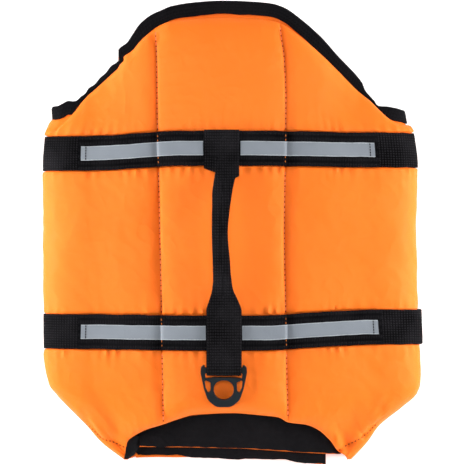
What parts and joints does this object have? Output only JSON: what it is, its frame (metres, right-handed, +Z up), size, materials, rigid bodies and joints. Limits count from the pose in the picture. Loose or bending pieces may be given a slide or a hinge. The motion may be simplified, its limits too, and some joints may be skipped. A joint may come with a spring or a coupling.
{
  "type": "dog life jacket",
  "caption": "Padded buoyancy jacket for a dog, belly straps fastened and laid flat: quilted back, belly flaps, reflective tape, grab handle and hinged lead ring.",
  "frame": {"origin": "on the surface the jacket lies on, under the middle of its bounding box", "axes": "+Z up out of the back, +Y towards the neck, +X to the right seen from above with the neck away from the viewer"},
  "size_m": [0.2768, 0.3403, 0.0613],
  "materials": {
    "orange_nylon": "satin coated nylon over foam",
    "black_lining": "matt polyester",
    "black_binding": "matt grosgrain",
    "black_webbing": "ribbed polypropylene webbing",
    "black_ribbon": "ribbed ribbon",
    "reflective_tape": "grey retroreflective",
    "dark_plastic": "moulded, satin"
  },
  "bodies": {
    "jacket": {"back_centre_panel": "orange_nylon", "side_panel_left": "orange_nylon", "side_panel_right": "orange_nylon", "belly_flap_left": "orange_nylon", "belly_flap_right": "orange_nylon", "back_lining": "black_lining", "belly_lining_left": "black_lining", "belly_lining_right": "black_lining", "neck_binding": "black_binding", "webbing_front": "black_webbing", "webbing_rear": "black_webbing", "belly_webbing_front_left": "black_webbing", "belly_webbing_front_right": "black_webbing", "belly_webbing_rear_left": "black_webbing", "belly_webbing_rear_right": "black_webbing", "handle": "black_webbing", "ribbon_front": "black_ribbon", "ribbon_rear": "black_ribbon", "reflective_tape_front_left": "reflective_tape", "reflective_tape_front_right": "reflective_tape", "reflective_tape_rear_left": "reflective_tape", "reflective_tape_rear_right": "reflective_tape", "buckle_front": "dark_plastic", "buckle_rear": "dark_plastic"},
    "ring": {"lead_ring": "dark_plastic"}
  },
  "joints": [
    {"name": "lead_ring_swing", "type": "hinge", "parent": "jacket", "child": "ring", "pos_m": [-0.0058, -0.1003, 0.04952], "axis": [-1, 0, 0], "range_deg": [0, 130]}
  ]
}
